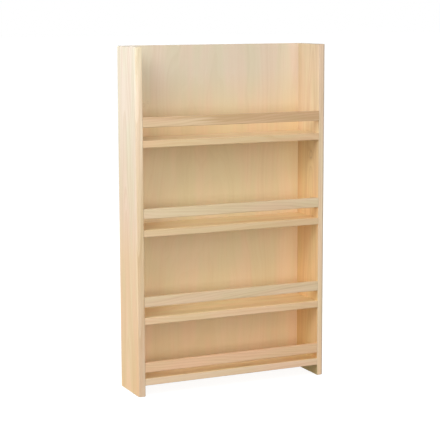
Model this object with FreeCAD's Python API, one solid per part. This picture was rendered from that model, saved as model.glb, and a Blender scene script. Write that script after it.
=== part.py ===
import FreeCAD, Part
import os

from FreeCAD import Vector

# An open, shallow pantry rack: two side boards, a thin back panel, four fixed shelves
# and a guard rail in front of each shelf. The shelves and rails butt against the sides
# and are held by hidden dowels. The back panel lies in a rabbet cut along the back of
# each side board, and is nailed to the sides and shelves with brads.
#
# Millimetres. +X is to the right as seen from the front, +Y is towards the back and
# +Z is up. The origin is the middle of the footprint, on the floor.

# Overall size.
WIDTH = 397.0
DEPTH = 93.0
HEIGHT = 660.0

# Board sections.
SIDE_THICKNESS = 13.5
SHELF_THICKNESS = 13.0
PANEL_THICKNESS = 6.0
RAIL_THICKNESS = 8.0
RAIL_HEIGHT = 19.0

# Levels, from the floor up. RISE is from the underside of the shelf below (or from the
# floor) to the underside of this shelf. RAIL_GAP is the open slot between the shelf's
# top and its rail.
FOOT_HEIGHT = 21.5
LOW_PITCH = 117.5
SHELF_PITCH = 167.5
LEVELS = (
    # name, rise, rail gap
    ("bottom", FOOT_HEIGHT, 12.0),
    ("lower", LOW_PITCH, 21.0),
    ("upper", SHELF_PITCH, 21.0),
    ("top", SHELF_PITCH, 24.5),
)

# Rounded edges.
OUTER_FRONT_RADIUS = 6.0
INNER_FRONT_RADIUS = 0.8
SIDE_END_RADIUS = 1.2
SIDE_BACK_RADIUS = 1.0
SHELF_FRONT_RADIUS = 0.8
RAIL_RADIUS = 1.2

# Rabbet for the back panel, cut into the inner back corner of each side board.
RABBET_WIDTH = 7.0
PANEL_SIDE_CLEARANCE = 0.25
PANEL_FLOOR_GAP = 1.5

# Dowels. Each end of a shelf has one near the front and one near the back. Each end of
# a rail has two, one above the other.
SHELF_DOWEL_RADIUS = 3.0
SHELF_DOWEL_LENGTH = 30.0
SHELF_DOWEL_INSET = 25.0
RAIL_DOWEL_RADIUS = 2.0
RAIL_DOWEL_LENGTH = 20.0
RAIL_DOWEL_SPACING = 9.0
DOWEL_IN_SIDE = 8.5
DOWEL_CHAMFER = 0.6
DOWEL_RADIAL_CLEARANCE = 0.05
DOWEL_END_CLEARANCE = 0.5

# Brads through the back panel.
BRAD_RADIUS = 0.8
BRAD_LENGTH = 20.0
BRAD_POINT = 2.0
BRAD_POINT_RADIUS = 0.2
BRAD_HEAD_RADIUS = 1.5
BRAD_HEAD_THICKNESS = 0.8
BRAD_CLEARANCE = 0.05
BRAD_PANEL_EDGE = 3.5
SIDE_BRADS = 7
SIDE_BRAD_END = 30.0
SHELF_BRADS = 3
SHELF_BRAD_END = 60.0

# Four screw holes through the back panel: one pair behind the top rail and one pair
# tucked under the lower shelf.
SCREW_HOLE_RADIUS = 2.5
SCREW_HOLE_INSET = 25.0
SCREW_ROW_ABOVE_TOP_SHELF = 24.0
SCREW_ROW_BELOW_LOWER_SHELF = 12.0

# Places worked out from the sizes above.
FRONT = -DEPTH / 2
BACK = DEPTH / 2
PANEL_FRONT = BACK - PANEL_THICKNESS
OUTER_X = WIDTH / 2
INNER_X = OUTER_X - SIDE_THICKNESS
PANEL_X = INNER_X + RABBET_WIDTH - PANEL_SIDE_CLEARANCE
RIGHT = Vector(1, 0, 0)
FORWARD = Vector(0, -1, 0)
ORIGIN = Vector(0, 0, 0)
TOUCH = 0.001


def shelf_undersides():
    """The height of each shelf's underside, by level name."""
    heights = {}
    underside = 0.0
    for name, rise, _ in LEVELS:
        underside += rise
        heights[name] = underside
    return heights


SHELF_Z = shelf_undersides()
RAIL_Z = {name: SHELF_Z[name] + SHELF_THICKNESS + gap for name, _, gap in LEVELS}


def box(x_range, y_range, z_range):
    """A block between the two ends of each range."""
    low = Vector(x_range[0], y_range[0], z_range[0])
    high = Vector(x_range[1], y_range[1], z_range[1])
    size = high - low
    return Part.makeBox(size.x, size.y, size.z, low)


def edges_at(shape, **places):
    """The edges that lie wholly at the named coordinates, such as x=10 and z=0."""
    found = []
    for edge in shape.Edges:
        bounds = edge.BoundBox
        ends = {
            "x": (bounds.XMin, bounds.XMax),
            "y": (bounds.YMin, bounds.YMax),
            "z": (bounds.ZMin, bounds.ZMax),
        }
        if all(abs(end - place) < TOUCH for axis, place in places.items() for end in ends[axis]):
            found.append(edge)
    return found


def mirrored(shape):
    """The same shape on the other side of the rack's middle plane."""
    return shape.mirror(ORIGIN, RIGHT)


def spread(count, low, high):
    """Evenly spaced places from low to high, both ends included."""
    step = (high - low) / (count - 1)
    return [low + step * index for index in range(count)]


# Dowels


def shelf_dowel_places(name):
    """The (y, z) of the dowels at one end of a shelf."""
    middle = SHELF_Z[name] + SHELF_THICKNESS / 2
    return [(FRONT + SHELF_DOWEL_INSET, middle), (PANEL_FRONT - SHELF_DOWEL_INSET, middle)]


def rail_dowel_places(name):
    """The (y, z) of the dowels at one end of a rail."""
    middle = RAIL_Z[name] + RAIL_HEIGHT / 2
    y = FRONT + RAIL_THICKNESS / 2
    return [(y, middle - RAIL_DOWEL_SPACING / 2), (y, middle + RAIL_DOWEL_SPACING / 2)]


def dowel(radius, length, y, z):
    """One dowel across the joint at the right-hand side, with chamfered ends."""
    start = Vector(INNER_X + DOWEL_IN_SIDE - length, y, z)
    peg = Part.makeCylinder(radius, length, start, RIGHT)
    rims = [edge for edge in peg.Edges if edge.Curve.TypeId == "Part::GeomCircle"]
    return peg.makeChamfer(DOWEL_CHAMFER, rims)


def dowel_hole(radius, length, y, z):
    """The hole that one dowel fills, in both of the boards that it joins."""
    start = Vector(INNER_X + DOWEL_IN_SIDE - length - DOWEL_END_CLEARANCE, y, z)
    depth = length + 2 * DOWEL_END_CLEARANCE
    return Part.makeCylinder(radius + DOWEL_RADIAL_CLEARANCE, depth, start, RIGHT)


def both_ends(pieces):
    """The pieces at the right-hand end, and their mirror images at the left."""
    return pieces + [mirrored(piece) for piece in pieces]


def shelf_dowels(name):
    pegs = [dowel(SHELF_DOWEL_RADIUS, SHELF_DOWEL_LENGTH, y, z) for y, z in shelf_dowel_places(name)]
    return Part.makeCompound(both_ends(pegs))


def rail_dowels(name):
    pegs = [dowel(RAIL_DOWEL_RADIUS, RAIL_DOWEL_LENGTH, y, z) for y, z in rail_dowel_places(name)]
    return Part.makeCompound(both_ends(pegs))


def shelf_dowel_holes(name):
    return [dowel_hole(SHELF_DOWEL_RADIUS, SHELF_DOWEL_LENGTH, y, z) for y, z in shelf_dowel_places(name)]


def rail_dowel_holes(name):
    return [dowel_hole(RAIL_DOWEL_RADIUS, RAIL_DOWEL_LENGTH, y, z) for y, z in rail_dowel_places(name)]


# Brads


def side_brad_places():
    """The (x, z) of the brads down the right-hand side board."""
    x = PANEL_X - BRAD_PANEL_EDGE
    return [(x, z) for z in spread(SIDE_BRADS, SIDE_BRAD_END, HEIGHT - SIDE_BRAD_END)]


def shelf_brad_places(name):
    """The (x, z) of the brads along the back edge of a shelf."""
    z = SHELF_Z[name] + SHELF_THICKNESS / 2
    reach = INNER_X - SHELF_BRAD_END
    return [(x, z) for x in spread(SHELF_BRADS, -reach, reach)]


def brad(x, z):
    """A brad driven forward from the back, with its head flush in the panel."""
    start = Vector(x, BACK, z)
    shank_length = BRAD_LENGTH - BRAD_POINT
    head = Part.makeCylinder(BRAD_HEAD_RADIUS, BRAD_HEAD_THICKNESS, start, FORWARD)
    shank = Part.makeCylinder(BRAD_RADIUS, shank_length, start, FORWARD)
    point_start = start + FORWARD * shank_length
    point = Part.makeCone(BRAD_RADIUS, BRAD_POINT_RADIUS, BRAD_POINT, point_start, FORWARD)
    return head.fuse([shank, point]).removeSplitter()


def brad_hole(x, z):
    """The hole that one brad fills, in the panel and in the board behind it."""
    start = Vector(x, BACK, z)
    head = Part.makeCylinder(BRAD_HEAD_RADIUS + BRAD_CLEARANCE, BRAD_HEAD_THICKNESS, start, FORWARD)
    shank = Part.makeCylinder(BRAD_RADIUS + BRAD_CLEARANCE, BRAD_LENGTH + BRAD_CLEARANCE, start, FORWARD)
    return head.fuse(shank)


# Boards


def right_side_board():
    """The right-hand side: a standing board with the panel's rabbet and blind holes."""
    board = box((INNER_X, OUTER_X), (FRONT, BACK), (0, HEIGHT))
    board = board.makeFillet(OUTER_FRONT_RADIUS, edges_at(board, x=OUTER_X, y=FRONT))
    board = board.makeFillet(INNER_FRONT_RADIUS, edges_at(board, x=INNER_X, y=FRONT))
    board = board.makeFillet(SIDE_BACK_RADIUS, edges_at(board, x=OUTER_X, y=BACK))
    ends = edges_at(board, z=0) + edges_at(board, z=HEIGHT)
    inner_ends = edges_at(board, x=INNER_X, z=0) + edges_at(board, x=INNER_X, z=HEIGHT)
    back_ends = edges_at(board, y=BACK, z=0) + edges_at(board, y=BACK, z=HEIGHT)
    flat_ends = inner_ends + back_ends
    rounded = [end for end in ends if not any(end.isSame(flat) for flat in flat_ends)]
    board = board.makeFillet(SIDE_END_RADIUS, rounded)
    rabbet = box((INNER_X - TOUCH, INNER_X + RABBET_WIDTH), (PANEL_FRONT, BACK + TOUCH), (-TOUCH, HEIGHT + TOUCH))
    holes = [brad_hole(x, z) for x, z in side_brad_places()]
    for name in SHELF_Z:
        holes += shelf_dowel_holes(name) + rail_dowel_holes(name)
    return board.cut([rabbet] + holes)


def back_panel():
    """The thin panel that closes the back, with its screw holes."""
    panel = box((-PANEL_X, PANEL_X), (PANEL_FRONT, BACK), (PANEL_FLOOR_GAP, HEIGHT))
    holes = both_ends([brad_hole(x, z) for x, z in side_brad_places()])
    for name in SHELF_Z:
        holes += [brad_hole(x, z) for x, z in shelf_brad_places(name)]
    upper_row = SHELF_Z["top"] + SHELF_THICKNESS + SCREW_ROW_ABOVE_TOP_SHELF
    lower_row = SHELF_Z["lower"] - SCREW_ROW_BELOW_LOWER_SHELF
    for z in (upper_row, lower_row):
        start = Vector(INNER_X - SCREW_HOLE_INSET, BACK, z)
        holes += both_ends([Part.makeCylinder(SCREW_HOLE_RADIUS, PANEL_THICKNESS, start, FORWARD)])
    return panel.cut(holes)


def shelf(name):
    """A flat board between the sides, from the front edge to the back panel."""
    underside = SHELF_Z[name]
    board = box((-INNER_X, INNER_X), (FRONT, PANEL_FRONT), (underside, underside + SHELF_THICKNESS))
    front_edges = edges_at(board, y=FRONT, z=underside) + edges_at(board, y=FRONT, z=underside + SHELF_THICKNESS)
    board = board.makeFillet(SHELF_FRONT_RADIUS, front_edges)
    brads = [brad_hole(x, z) for x, z in shelf_brad_places(name)]
    return board.cut(both_ends(shelf_dowel_holes(name)) + brads)


def rail(name):
    """A thin guard bar along the front, standing on edge above its shelf."""
    underside = RAIL_Z[name]
    bar_y = (FRONT, FRONT + RAIL_THICKNESS)
    bar_z = (underside, underside + RAIL_HEIGHT)
    bar = box((-INNER_X, INNER_X), bar_y, bar_z)
    long_edges = [edge for y in bar_y for z in bar_z for edge in edges_at(bar, y=y, z=z)]
    bar = bar.makeFillet(RAIL_RADIUS, long_edges)
    return bar.cut(both_ends(rail_dowel_holes(name)))


# Output


def save(name, shape):
    shape.exportStep("parts/" + name + ".step")


def main():
    os.makedirs("parts", exist_ok=True)
    right_side = right_side_board()
    save("right_side", right_side)
    save("left_side", mirrored(right_side))
    save("back_panel", back_panel())
    right_brads = [brad(x, z) for x, z in side_brad_places()]
    save("right_side_brads", Part.makeCompound(right_brads))
    save("left_side_brads", Part.makeCompound([mirrored(nail) for nail in right_brads]))
    for name in SHELF_Z:
        save(name + "_shelf", shelf(name))
        save(name + "_rail", rail(name))
        save(name + "_shelf_dowels", shelf_dowels(name))
        save(name + "_rail_dowels", rail_dowels(name))
        brads = [brad(x, z) for x, z in shelf_brad_places(name)]
        save(name + "_shelf_brads", Part.makeCompound(brads))


main()
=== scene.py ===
import math

import bpy
from mathutils import Matrix, Vector


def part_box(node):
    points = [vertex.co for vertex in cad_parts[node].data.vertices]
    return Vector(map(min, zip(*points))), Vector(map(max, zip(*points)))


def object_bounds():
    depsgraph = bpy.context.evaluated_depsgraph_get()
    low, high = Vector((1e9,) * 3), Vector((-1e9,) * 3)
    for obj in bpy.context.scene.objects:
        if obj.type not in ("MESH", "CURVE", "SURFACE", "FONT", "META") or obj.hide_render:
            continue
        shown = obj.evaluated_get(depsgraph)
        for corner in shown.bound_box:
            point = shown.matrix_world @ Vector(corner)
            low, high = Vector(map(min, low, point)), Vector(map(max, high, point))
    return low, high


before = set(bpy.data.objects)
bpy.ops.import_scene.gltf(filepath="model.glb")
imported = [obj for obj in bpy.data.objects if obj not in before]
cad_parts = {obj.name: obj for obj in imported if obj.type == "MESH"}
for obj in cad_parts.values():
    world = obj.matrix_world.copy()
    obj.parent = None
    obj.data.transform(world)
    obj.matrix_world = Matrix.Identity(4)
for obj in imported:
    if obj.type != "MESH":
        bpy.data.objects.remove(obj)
cad_low, cad_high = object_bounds()

# Lengths inside the materials are in millimetres.
MM = 0.001
LEVELS = ("bottom", "lower", "upper", "top")

# Camera, by where it looks and from where.
CAMERA_AZIMUTH = math.radians(-24.74)
CAMERA_ELEVATION = math.radians(8.674)
CAMERA_ROLL = math.radians(0.157)
CAMERA_DISTANCE = 2.727
CAMERA_LENS_MM = 114.6
CAMERA_SENSOR_MM = 36.0
CAMERA_REACH = 100.0
CAMERA_AIM_OFFSET = Vector((-7.2 * MM, 0.0, -8.5 * MM))

# Light. Colours carry the strength, so each one is what a white surface would show.
WHITE = (1.0, 1.0, 1.0)
SKY_FRONT = (0.67, 0.675, 0.67)
SKY_BACK = (0.41, 0.415, 0.42)
GROUND_FRONT = (0.22, 0.215, 0.21)
GROUND_BACK = (0.36, 0.31, 0.26)
HORIZON_BLEND = 0.05
SIDE_BLEND = 0.3
LAMPS = (
    # name, place, aim, width and height, watts for red, green and blue
    ("key", (-1.0, -0.6, 1.25), (-0.15, 0.0, 0.45), (0.7, 0.7), (8.0, 8.5, 8.9)),
    ("left_high", (-1.0, 0.2, 1.1), (-0.2, 0.0, 0.45), (0.6, 0.6), (4.9, 5.5, 6.4)),
    ("left_low", (-2.0, -0.8, 0.6), (0.0, 0.0, 0.30), (1.0, 1.0), (3.8, 3.9, 3.3)),
    ("left_floor", (-0.70, 0.12, 0.10), (-0.2, 0.0, 0.10), (0.3, 0.3), (0.44, 0.40, 0.34)),
    ("front", (0.3, -2.5, 1.2), (0.0, 0.0, 0.35), (1.2, 1.2), (5.9, 6.1, 5.8)),
    ("fill", (-0.6, -2.4, 0.45), (0.0, 0.0, 0.30), (1.2, 0.6), (12.0, 12.1, 11.6)),
    ("right", (2.2, 0.8, 1.0), (0.0, 0.1, 0.35), (1.0, 1.0), (10.0, 10.0, 10.0)),
    ("back", (0.7, 2.3, 1.5), (0.0, 0.0, 0.35), (1.4, 1.4), (15.0, 15.0, 15.0)),
)
FLOOR_REACH = 30.0
FLOOR_COLOUR = (0.26, 0.26, 0.26)
FLOOR_GLOW = 0.90

# Wood colours, as shown under even white light, and the tones that three of them stand for.
PALE = (0.86, 0.70, 0.50)
MIDDLE = (0.80, 0.60, 0.385)
DEEP = (0.63, 0.42, 0.225)
TONES = ((0.10, PALE), (0.46, MIDDLE), (0.95, DEEP))
KNOT_COLOUR = (0.40, 0.235, 0.105)

# Tints, which multiply the wood's colour. Several stand for painted light and shade, as said at each.
PINKISH = (1.04, 0.985, 0.985)
YELLOWISH = (0.98, 1.01, 0.95)
END_GRAIN = (0.50, 0.46, 0.37)
# Painted shade that darkens the rounded corners of the boards.
ROUNDED_CORNER_SHADE = (0.92, 0.91, 0.90)
RUBBED = (0.86, 0.83, 0.80)
# Painted shade on the inner faces below the bottom shelf, near the floor.
FOOT_SHADE = (0.62, 0.70, 0.62)
# Colours for each level's rails, shelves and shelf edges: painted light and shade, with some of the wood's
# own tone.
RAIL_TONE_AND_PAINTED_LIGHT = {
    "bottom": (1.09, 0.95, 0.92),
    "lower": (1.0, 1.0, 1.02),
    "upper": (0.995, 1.005, 1.035),
    "top": (0.99, 0.93, 0.935),
}
SHELF_TONE_AND_PAINTED_LIGHT = {
    "bottom": (1.12, 1.08, 0.91),
    "lower": (1.15, 1.18, 1.07),
    "upper": (1.12, 1.11, 0.97),
    "top": (1.03, 1.015, 0.96),
}
SHELF_EDGE_TONE_AND_PAINTED_LIGHT = {
    "bottom": (1.08, 1.0, 1.03),
    "lower": (1.045, 0.95, 0.88),
    "upper": (0.95, 0.88, 0.79),
    "top": (0.95, 0.875, 0.775),
}

# How far the pinkish and yellowish tints go, how high the painted shade at the foot of the inner
# faces reaches in millimetres, and the heights below and above the top shelf, as shares of the
# rack's height.
PATCH_SHARE = 0.8
FOOT_SHADE_TOP = 24.0
FOOT_SHADE_FADE = 5.0
BELOW_TOP_SHELF = 0.68
ABOVE_TOP_SHELF = 0.78

# Patterns in the wood: size across the grain, size along it, and detail.
BENDS = (70.0, 260.0, 2.0)
RIPPLES = (16.0, 90.0, 2.0)
PATCHES = (45.0, 300.0, 3.0)
WARMTH = (30.0, 150.0, 2.0)
SILK = (4.5, 160.0, 2.0)
FIBRES = (1.1, 55.0, 3.0)
PORES = (0.42, 5.5, 1.0)
RUBBING = (14.0, 35.0, 3.0)
SMEARS = (26.0, 70.0, 3.0)

# How much each pattern changes the tone.
RING_TONE = 0.20
BAND_TONE = 0.42
PATCH_TONE = 0.40
SILK_TONE = 0.26
FIBRE_TONE = 0.16
STREAK_FADE = 40.0

# Lacquer over the wood, and how far the grain stands up, in metres.
SATIN = 0.40
LACQUER_IOR = 1.5
COAT_WEIGHT = 0.25
COAT_ROUGHNESS = 0.28
GRAIN_RELIEF = 0.00012

# Steel.
BRIGHT = (0.60, 0.59, 0.57)
TARNISHED = (0.42, 0.40, 0.37)
POLISH = 0.22
SCUFF_RELIEF = 0.00005


# Signals


class Signal:
    """A number or vector that varies over a surface. Sums and products add maths nodes."""

    def __init__(self, graph, socket):
        self.graph = graph
        self.socket = socket

    def __add__(self, other):
        return self.graph.math("ADD", self, other)

    def __radd__(self, other):
        return self.graph.math("ADD", other, self)

    def __sub__(self, other):
        return self.graph.math("SUBTRACT", self, other)

    def __rsub__(self, other):
        return self.graph.math("SUBTRACT", other, self)

    def __mul__(self, other):
        return self.graph.math("MULTIPLY", self, other)

    def __truediv__(self, other):
        return self.graph.math("DIVIDE", self, other)


class Graph:
    """A node tree under construction."""

    # A Mix node's sockets for colours go by number, because their names aren't unique.
    MIX_FIRST = 6
    MIX_SECOND = 7
    MIX_RESULT = 2

    def __init__(self, tree):
        self.tree = tree

    def feed(self, socket, value):
        """Sets a socket to a constant, or links it to a signal."""
        if isinstance(value, Signal):
            value = value.socket
        if isinstance(value, bpy.types.NodeSocket):
            self.tree.links.new(value, socket)
        elif socket.type == "RGBA":
            socket.default_value = (*value, 1.0)
        else:
            socket.default_value = value

    def node(self, kind, settings=None, inputs=None):
        made = self.tree.nodes.new("ShaderNode" + kind)
        for name, value in (settings or {}).items():
            setattr(made, name, value)
        for key, value in (inputs or {}).items():
            self.feed(made.inputs[key], value)
        return made

    def math(self, operation, *terms):
        made = self.node("Math", {"operation": operation}, dict(enumerate(terms)))
        return Signal(self, made.outputs[0])

    def split(self, vector):
        """The three parts of a vector."""
        made = self.node("SeparateXYZ", None, {0: vector})
        return [Signal(self, part) for part in made.outputs]

    def join(self, *parts):
        made = self.node("CombineXYZ", None, dict(enumerate(parts)))
        return made.outputs[0]

    def noise(self, parts, detail, roughness=0.5):
        """Smooth noise from 0 to 1, at three coordinates already divided by its size."""
        inputs = {"Vector": self.join(*parts), "Scale": 1.0, "Detail": detail, "Roughness": roughness}
        made = self.node("TexNoise", {"noise_dimensions": "3D"}, inputs)
        return Signal(self, made.outputs["Fac"])

    def noise_along(self, number, detail=1.0):
        """Smooth noise from 0 to 1 that depends on one number."""
        inputs = {"W": number, "Scale": 1.0, "Detail": detail}
        made = self.node("TexNoise", {"noise_dimensions": "1D"}, inputs)
        return Signal(self, made.outputs["Fac"])

    def rise(self, number, low, high, shape="SMOOTHSTEP"):
        """A step from 0 at low to 1 at high."""
        inputs = {"Value": number, "From Min": low, "From Max": high}
        made = self.node("MapRange", {"interpolation_type": shape}, inputs)
        return Signal(self, made.outputs["Result"])

    def mix(self, share, first, second, blend="MIX"):
        """Two colours mixed, with a share of the second."""
        made = self.node("Mix", {"data_type": "RGBA", "blend_type": blend}, {0: share})
        self.feed(made.inputs[self.MIX_FIRST], first)
        self.feed(made.inputs[self.MIX_SECOND], second)
        return made.outputs[self.MIX_RESULT]

    def tint(self, share, colour, by):
        """A colour multiplied by another, as far as the share says."""
        return self.mix(share, colour, by, "MULTIPLY")

    def ramp(self, number, stops):
        """A colour for each number, from stops of (number, colour)."""
        made = self.node("ValToRGB", None, {0: number})
        points = made.color_ramp.elements
        while len(points) < len(stops):
            points.new(1.0)
        while len(points) > len(stops):
            points.remove(points[-1])
        for point, (where, colour) in zip(points, stops):
            point.position = where
            point.color = (*colour, 1.0)
        return made.outputs[0]


class Recipe(Graph):
    """A material under construction."""

    def __init__(self, name):
        self.material = bpy.data.materials.new(name)
        self.material.use_nodes = True
        super().__init__(self.material.node_tree)
        self.shader = self.tree.nodes["Principled BSDF"]
        self.place = self.node("TexCoord").outputs["Object"]
        self.normal = self.node("NewGeometry").outputs["Normal"]

    def shade_with(self, **values):
        """Feeds the shader's inputs, whose names have spaces for underscores here."""
        for name, value in values.items():
            self.feed(self.shader.inputs[name.replace("_", " ")], value)

    def bump(self, height, strength, distance):
        made = self.node("Bump", None, {"Strength": strength, "Distance": distance, "Height": height})
        return made.outputs["Normal"]


# Wood


class Wood(Recipe):
    """A board's wood: yearly rings round a pith, cut through by the board's faces.

    A look says how the wood of one board differs from the next. Places and sizes are in
    millimetres from the board's middle.

    pith, lean      where the pith runs, across and through, and how far it leans
    spacing         from one ring to the next
    tone, drift     from 0 pale to 1 deep, and how much paler the upper or right end is
    wander          how far the grain wanders
    stretch         how much faster the pattern changes through the board than across it
    contrast, ring  strength of all patterns, and of the rings alone
    shade           colours by share of the rack's height, for the broad faces: painted light
                and shade, with some of the wood's own tone
    edge_shade      the same for the narrow edges
    corner    painted shade that darkens the rounded corners
    side_light      painted light towards the sides: start and end of the change, and its tint
    back_shade      painted shade towards the back: start and end of the change, and its tint
    inward          which way along x the face with painted shade at its foot looks
    plies           how many layers show on the edges
    knots           across, along, radius and strength of each
    streaks         start, end, place across, width and strength of each
    """

    def __init__(self, name, node, order, seed, look):
        super().__init__(name)
        self.look = look
        self.shift = 37.0 * seed
        self.measure(node, order)
        self.bend_grain()
        self.set_knots()
        self.grow_rings()
        self.colour = self.ramp(self.tone(), TONES)
        self.tint_patches()
        self.tint_faces()
        self.tint_places()
        self.mark_pores_and_knots()
        self.mark_ends_and_plies()
        self.rub_edges()
        self.finish()

    def measure(self, node, order):
        """Millimetres across, through and along the board, and which way each point faces."""
        low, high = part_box(node)
        middle = (Vector(low) + Vector(high)) / 2 / MM
        half = (Vector(high) - Vector(low)) / 2 / MM
        place = self.split(self.place)
        normal = self.split(self.normal)
        picks = ["xyz".index(letter) for letter in order]
        self.parts = [place[axis] * (1 / MM) - middle[axis] for axis in picks]
        self.across, self.through, self.along = self.parts
        self.half = [half[axis] for axis in picks]
        self.facing = [self.math("ABSOLUTE", normal[axis]) for axis in picks]
        self.deep = self.through * self.look.get("stretch", 1.0)
        self.sideways = normal[0]
        self.above_floor = place[2] / MM
        self.height = place[2] / (cad_high.z - cad_low.z)

    def pattern(self, kind, moves, stretched=False, roughness=0.5):
        """Noise from 0 to 1 in one of the wood's sizes, moved to differ from other noise."""
        size, length, detail = kind
        depth = self.deep if stretched else self.through
        scaled = (self.across / size, depth / size, self.along / length)
        moved = [part + move if move else part for part, move in zip(scaled, moves)]
        return self.noise(moved, detail, roughness)

    def bend_grain(self):
        """How far each point is from the pith, in a trunk that bends in two sizes."""
        shift = self.shift
        wander = self.look.get("wander", 5.0)
        pith_across, pith_through = self.look["pith"]
        lean_across, lean_through = self.look["lean"]
        self.bend = self.pattern(BENDS, (shift, 0.0, shift), True) - 0.5
        sway = self.pattern(BENDS, (shift, 9.0, shift), True) - 0.5
        self.ripple = self.pattern(RIPPLES, (0.0, shift, 0.0), True) - 0.5
        side = self.across - pith_across - self.along * lean_across + self.bend * (wander * 4)
        deep = self.deep - pith_through - self.along * lean_through + sway * (wander * 3)
        self.reach = self.math("SQRT", side * side + deep * deep) + self.ripple * (wander * 0.35)

    def set_knots(self):
        """Knots push the rings aside and show as small dark rounds."""
        self.knotty = None
        for across, along, radius, strength in self.look.get("knots", ()):
            from_knot = self.across - across
            down_knot = (self.along - along) * 0.7
            gap = self.math("SQRT", from_knot * from_knot + down_knot * down_knot) / radius
            self.reach = self.reach + self.math("EXPONENT", gap * gap * -0.16) * (radius * 1.1)
            rim = self.rise(gap, 0.35, 0.8) * (1 - self.rise(gap, 0.95, 1.5))
            heart = (1 - self.rise(gap, 0.0, 1.0)) * 0.2
            mark = (rim + heart) * strength
            self.knotty = mark if self.knotty is None else self.knotty + mark

    def grow_rings(self):
        """Each year's ring darkens slowly towards its late wood and ends sharply."""
        rings = self.reach / self.look["spacing"] + self.noise_along(self.reach / 11 + self.shift) * 1.6
        year = self.math("FRACT", rings)
        self.late = self.rise(year, 0.25, 0.9) * (1 - self.rise(year, 0.92, 1.0))
        vigour = self.noise_along(rings * 0.37 + self.shift) + 0.3
        self.ring = self.late * vigour
        self.bands = self.noise_along(self.reach / 9 + self.shift + 50.0, 3.0) - 0.5

    def tone(self):
        """How deep the wood's colour is, from 0 to 1."""
        look = self.look
        contrast = look.get("contrast", 1.0)
        patches = self.pattern(PATCHES, (self.shift, 0.0, 0.0), True) - 0.5
        self.fibre = self.pattern(FIBRES, (0.0, self.shift, 0.0), roughness=0.65) - 0.5
        silk = self.pattern(SILK, (self.shift, 0.0, 0.0)) - 0.5
        tone = (
            look["tone"]
            + self.ring * (RING_TONE * contrast * look.get("ring", 1.0))
            + self.bands * (BAND_TONE * contrast)
            + patches * (PATCH_TONE * contrast)
            + silk * (SILK_TONE * contrast)
            + self.fibre * (FIBRE_TONE * contrast)
            - self.along * (look.get("drift", 0.0) / self.half[2] / 2)
        )
        for start, end, across, width, strength in look.get("streaks", ()):
            gap = self.math("ABSOLUTE", self.across - across + self.bend * 3 + self.ripple * 2) / width
            begun = self.rise(self.along, start - STREAK_FADE, start + STREAK_FADE)
            ended = self.rise(self.along, end - STREAK_FADE, end + STREAK_FADE)
            tone = tone + (1 - self.rise(gap, 0.3, 1.0)) * (begun * (1 - ended)) * strength
        return tone

    def tint_patches(self):
        """Patches of warmer and cooler wood."""
        warm = self.pattern(WARMTH, (0.0, self.shift, 4.0), True)
        tint = self.mix(self.rise(warm, 0.35, 0.65), PINKISH, YELLOWISH)
        self.colour = self.tint(PATCH_SHARE, self.colour, tint)

    def tint_faces(self):
        """Painted light and shade, with some of the wood's tone, by height; edges differ from faces."""
        look = self.look
        # Painted light and shade by height, for broad faces and for narrow edges.
        faces = self.ramp(self.height, look["shade"])
        edges = self.ramp(self.height, look.get("edge_shade", look["shade"]))
        shade = self.mix(self.rise(self.facing[0], 0.35, 0.75), faces, edges)
        self.colour = self.tint(1.0, self.colour, shade)
        # Painted shade on the rounded corners between broad faces and narrow edges.
        corner = self.rise(self.facing[0] * self.facing[1], 0.12, 0.45)
        self.colour = self.tint(corner, self.colour, look.get("corner", ROUNDED_CORNER_SHADE))

    def tint_places(self):
        """Painted light towards the sides, painted shade towards the back, and low on the inward face."""
        look = self.look
        # Painted light, paler towards both sides of the panel.
        if "side_light" in look:
            start, end, pale = look["side_light"]
            side_lit = self.rise(self.math("ABSOLUTE", self.across + self.bend * 12), start, end)
            self.colour = self.tint(side_lit, self.colour, pale)
        # Painted shade, darker towards the back of the compartments below the top shelf.
        if "back_shade" in look:
            start, end, dark = look["back_shade"]
            below = 1 - self.rise(self.height, BELOW_TOP_SHELF, ABOVE_TOP_SHELF)
            self.colour = self.tint(self.rise(self.across, start, end) * below, self.colour, dark)
        # Painted shade low on the inward face, under the bottom shelf.
        if "inward" in look:
            turned = self.rise(self.sideways * look["inward"], 0.3, 0.8)
            under = 1 - self.rise(self.above_floor, FOOT_SHADE_TOP - FOOT_SHADE_FADE, FOOT_SHADE_TOP)
            self.colour = self.tint(turned * under, self.colour, FOOT_SHADE)

    def mark_pores_and_knots(self):
        """Short pores and fine dark flecks, and the knots over them."""
        self.pores = self.rise(self.pattern(PORES, (0.0, 0.0, self.shift)), 0.66, 0.78)
        self.colour = self.mix(self.pores * 0.22, self.colour, DEEP)
        if self.knotty is not None:
            self.colour = self.mix(self.knotty, self.colour, KNOT_COLOUR)

    def mark_ends_and_plies(self):
        """Board ends drink more lacquer and look darker. Plies show on plywood's edges."""
        self.end = self.rise(self.facing[2], 0.35, 0.8)
        self.colour = self.tint(self.end, self.colour, END_GRAIN)
        if "plies" in self.look:
            thickness = 2 * self.half[1]
            pair = 2 * thickness / self.look["plies"]
            layer = self.math("FRACT", (self.through + self.half[1]) / pair)
            cross = self.rise(layer, 0.46, 0.52) * (1 - self.rise(layer, 0.95, 1.0))
            edge = 1 - self.rise(self.facing[1], 0.5, 0.8)
            self.colour = self.mix(cross * edge * 0.75, self.colour, DEEP)

    def edge_distance(self):
        """Roughly how far a point on the board's surface is from the nearest edge."""
        depths = [size - self.math("ABSOLUTE", part) for part, size in zip(self.parts, self.half)]
        first, second, third = depths
        smaller = self.math("MINIMUM", first, second)
        larger = self.math("MAXIMUM", first, second)
        return self.math("MAXIMUM", smaller, self.math("MINIMUM", larger, third))

    def rub_edges(self):
        """Hands have rubbed the edges in places: a little darker, and smoother."""
        rub = self.rise(self.pattern(RUBBING, (0.0, 0.0, self.shift)), 0.40, 0.62)
        self.worn = (1 - self.rise(self.edge_distance(), 0.4, 2.6)) * rub
        self.colour = self.tint(self.worn * 0.35, self.colour, RUBBED)

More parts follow.
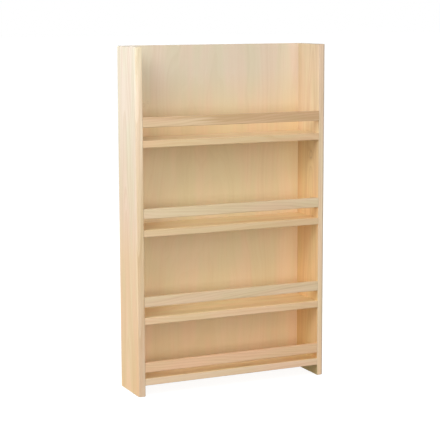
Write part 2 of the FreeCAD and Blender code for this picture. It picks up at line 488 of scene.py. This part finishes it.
    def finish(self):
        """A satin clear coat with smears, over grain that stands up a little."""
        smears = self.pattern(SMEARS, (0.0, 5.0, self.shift)) - 0.5
        rough = SATIN + smears * 0.14 + self.late * 0.05 + self.end * 0.14 - self.worn * 0.07
        relief = self.ring * 0.5 + self.fibre * 0.6 - self.pores * 0.7 + self.bands * 0.3
        self.shade_with(
            Base_Color=self.colour,
            Roughness=rough + self.pores * 0.10,
            Normal=self.bump(relief, 0.35, GRAIN_RELIEF),
            IOR=LACQUER_IOR,
            Coat_Weight=COAT_WEIGHT,
            Coat_Roughness=COAT_ROUGHNESS,
        )


# Steel


def steel(name):
    """Bright steel with small scuffs and slight tarnish."""
    recipe = Recipe(name)
    x, y, z = [part / MM for part in recipe.split(recipe.place)]
    scuff = recipe.noise((x / 0.6, y / 0.6, z / 0.15), 4.0, 0.7)
    tarnish = recipe.noise((x / 2.5, y / 2.5, z / 2.5), 3.0)
    recipe.shade_with(
        Base_Color=recipe.ramp(tarnish, ((0.3, BRIGHT), (0.7, TARNISHED))),
        Roughness=POLISH + scuff * 0.30,
        Normal=recipe.bump(scuff, 0.4, SCUFF_RELIEF),
        Metallic=1.0,
    )
    return recipe.material


# Dressing the frame


def wear(node, material):
    """Gives a CAD node its material."""
    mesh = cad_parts[node].data
    mesh.materials.clear()
    mesh.materials.append(material)


def dress_left_side():
    look = {
        "pith": (8.0, 34.0),
        "lean": (0.012, 0.030),
        "spacing": 4.2,
        "tone": 0.40,
        "drift": -0.20,
        # painted shade on the rounded corners
        "corner": (0.88, 0.88, 0.88),
        # the inner face takes painted shade at its foot
        "inward": 1.0,
    }
    # Painted light and shade by height, with some of the wood's own tone.
    look["shade"] = (
        (0.0, (1.15, 1.02, 0.88)),
        (0.15, (1.08, 0.99, 0.91)),
        (0.39, (1.02, 1.005, 0.985)),
        (0.52, (1.01, 1.04, 1.18)),
        (0.76, (1.0, 1.14, 1.38)),
        (1.0, (1.01, 1.16, 1.48)),
    )
    look["edge_shade"] = (
        (0.0, (0.97, 0.94, 0.96)),
        (0.39, (0.945, 0.88, 0.83)),
        (0.55, (0.98, 0.99, 0.98)),
        (0.76, (1.10, 1.19, 1.36)),
    )
    wear("left_side", Wood("left_wood", "left_side", "yxz", 1, look).material)


def dress_right_side():
    look = {
        "pith": (-14.0, -31.0),
        "lean": (-0.015, -0.026),
        "spacing": 3.8,
        "tone": 0.44,
        "drift": -0.16,
        # painted shade, greyer, on the rounded corners
        "corner": (0.79, 0.81, 0.85),
        # the inner face takes painted shade at its foot
        "inward": -1.0,
        # painted shade towards the back of the compartments
        "back_shade": (-25.0, 40.0, (0.97, 0.94, 0.88)),
        "knots": ((-14.0, 112.0, 5.2, 0.30),),
    }
    # Painted light and shade by height, with some of the wood's own tone.
    look["shade"] = (
        (0.0, (1.12, 1.02, 0.77)),
        (0.58, (1.14, 1.10, 0.98)),
        (0.82, (0.97, 1.02, 1.08)),
        (1.0, (0.85, 0.88, 0.92)),
    )
    look["edge_shade"] = ((0.0, (1.14, 1.10, 1.08)), (1.0, (1.08, 1.12, 1.26)))
    wear("right_side", Wood("right_wood", "right_side", "yxz", 2, look).material)


def dress_panel():
    look = {
        "pith": (-25.0, 88.0),
        "lean": (0.05, 0.06),
        "spacing": 6.5,
        "stretch": 6.0,
        "wander": 13.0,
        "tone": 0.42,
        "drift": -0.10,
        "contrast": 0.42,
        "ring": 0.6,
        "plies": 5,
        # painted light towards both sides
        "side_light": (125.0, 185.0, (1.11, 1.09, 1.12)),
        "knots": ((-148.0, 216.0, 2.6, 0.16), (-139.0, 221.0, 2.0, 0.12), (66.0, -205.0, 2.4, 0.3)),
    }
    # Painted light and shade by height, including a painted golden band above the top rail.
    look["shade"] = (
        (0.0, (1.05, 1.02, 0.98)),
        (0.56, (1.01, 1.08, 1.06)),
        (0.77, (1.0, 0.995, 0.93)),
        (0.845, (0.94, 1.015, 1.115)),
        (0.92, (0.93, 1.04, 1.25)),
    )
    wear("back_panel", Wood("panel_wood", "back_panel", "xyz", 3, look).material)


def dress_shelf(level, seed, turn):
    look = {
        "pith": (20.0 * turn, -30.0),
        "lean": (0.02 * turn, 0.02),
        "spacing": 3.6,
        "tone": 0.32,
        "shade": ((0.0, SHELF_TONE_AND_PAINTED_LIGHT[level]),),
        "edge_shade": ((0.0, SHELF_EDGE_TONE_AND_PAINTED_LIGHT[level]),),
    }
    wear(level + "_shelf", Wood(level + "_shelf_wood", level + "_shelf", "yzx", seed, look).material)


def dress_rail(level, seed, turn):
    look = {
        "pith": (26.0 * turn, 34.0),
        "lean": (0.03 * turn, 0.03),
        "spacing": 3.1,
        "tone": 0.44,
        "shade": ((0.0, RAIL_TONE_AND_PAINTED_LIGHT[level]),),
    }
    if level == "top":
        look["streaks"] = (
            (-40.0, 260.0, 3.0, 16.0, 0.42),
            (-190.0, 20.0, 8.0, 5.0, 0.30),
            (-66.0, -30.0, 0.0, 1.8, 0.5),
        )
    if level == "lower":
        look["streaks"] = ((118.0, 124.0, 1.0, 2.0, 0.4),)
    wear(level + "_rail", Wood(level + "_rail_wood", level + "_rail", "zyx", seed, look).material)


def dress_boards():
    """No two boards share a seed, and the trunk's middle changes side from shelf to shelf."""
    dress_left_side()
    dress_right_side()
    dress_panel()
    for index, level in enumerate(LEVELS):
        turn = 1 if index % 2 else -1
        dress_shelf(level, 4 + index, turn)
        dress_rail(level, 14 + index, turn)


def dress_hardware():
    """Dowels share one wood and brads one steel, since they are nearly all hidden."""
    look = {"pith": (3.0, 9.0), "lean": (0.01, 0.02), "spacing": 2.2, "tone": 0.5, "shade": ((0.0, WHITE),)}
    pegs = Wood("dowel_wood", "top_shelf_dowels", "yzx", 30, look).material
    metal = steel("brad_steel")
    for level in LEVELS:
        wear(level + "_shelf_dowels", pegs)
        wear(level + "_rail_dowels", pegs)
        wear(level + "_shelf_brads", metal)
    for node in ("left_side_brads", "right_side_brads"):
        wear(node, metal)


# Studio


def make_floor():
    """A plain pale floor, bright enough to read as white away from the rack."""
    mesh = bpy.data.meshes.new("floor")
    reach = FLOOR_REACH
    corners = [(-reach, -reach, 0), (reach, -reach, 0), (reach, reach, 0), (-reach, reach, 0)]
    mesh.from_pydata(corners, [], [(0, 1, 2, 3)])
    floor = bpy.data.objects.new("floor", mesh)
    bpy.context.scene.collection.objects.link(floor)
    paint = Recipe("floor_paint")
    paint.shade_with(
        Base_Color=FLOOR_COLOUR,
        Roughness=0.9,
        Specular_IOR_Level=0.0,
        Emission_Color=WHITE,
        Emission_Strength=FLOOR_GLOW,
    )
    mesh.materials.append(paint.material)
    floor.visible_diffuse = False
    floor.visible_glossy = False


def make_lamp(name, place, aim, size, watts):
    data = bpy.data.lights.new(name, "AREA")
    data.shape = "RECTANGLE"
    data.size, data.size_y = size
    data.energy = max(watts)
    data.color = [part / max(watts) for part in watts]
    lamp = bpy.data.objects.new(name, data)
    bpy.context.scene.collection.objects.link(lamp)
    facing = (Vector(aim) - Vector(place)).to_track_quat("-Z", "Y").to_matrix().to_4x4()
    lamp.matrix_world = Matrix.Translation(place) @ facing


def make_world():
    """White behind the rack, with softer light from the sky and the ground."""
    world = bpy.data.worlds.new("studio")
    world.use_nodes = True
    bpy.context.scene.world = world
    graph = Graph(world.node_tree)
    way = graph.split(graph.node("TexCoord").outputs["Generated"])
    above = graph.rise(way[2], -HORIZON_BLEND, HORIZON_BLEND, "LINEAR")
    behind = graph.rise(way[1], -SIDE_BLEND, SIDE_BLEND, "LINEAR")
    ground = graph.mix(behind, GROUND_FRONT, GROUND_BACK)
    sky = graph.mix(behind, SKY_FRONT, SKY_BACK)
    light = graph.mix(above, ground, sky)
    seen = graph.mix(graph.node("LightPath").outputs["Is Camera Ray"], light, WHITE)
    graph.feed(world.node_tree.nodes["Background"].inputs["Color"], seen)


# Camera


def make_camera():
    """The camera looks at a point near the middle of the rack, from the front left."""
    aim = (cad_low + cad_high) / 2 + CAMERA_AIM_OFFSET
    flat = math.cos(CAMERA_ELEVATION)
    east = math.sin(CAMERA_AZIMUTH) * flat
    north = -math.cos(CAMERA_AZIMUTH) * flat
    away = Vector((east, north, math.sin(CAMERA_ELEVATION)))
    data = bpy.data.cameras.new("camera")
    data.lens = CAMERA_LENS_MM
    data.sensor_width = CAMERA_SENSOR_MM
    data.clip_end = CAMERA_REACH
    camera = bpy.data.objects.new("camera", data)
    bpy.context.scene.collection.objects.link(camera)
    facing = (-away).to_track_quat("-Z", "Y").to_matrix()
    turned = facing @ Matrix.Rotation(-CAMERA_ROLL, 3, "Z")
    camera.matrix_world = Matrix.Translation(aim + away * CAMERA_DISTANCE) @ turned.to_4x4()
    bpy.context.scene.camera = camera


dress_boards()
dress_hardware()
make_floor()
make_world()
for lamp in LAMPS:
    make_lamp(*lamp)
make_camera()
bpy.context.scene.view_settings.view_transform = "Standard"
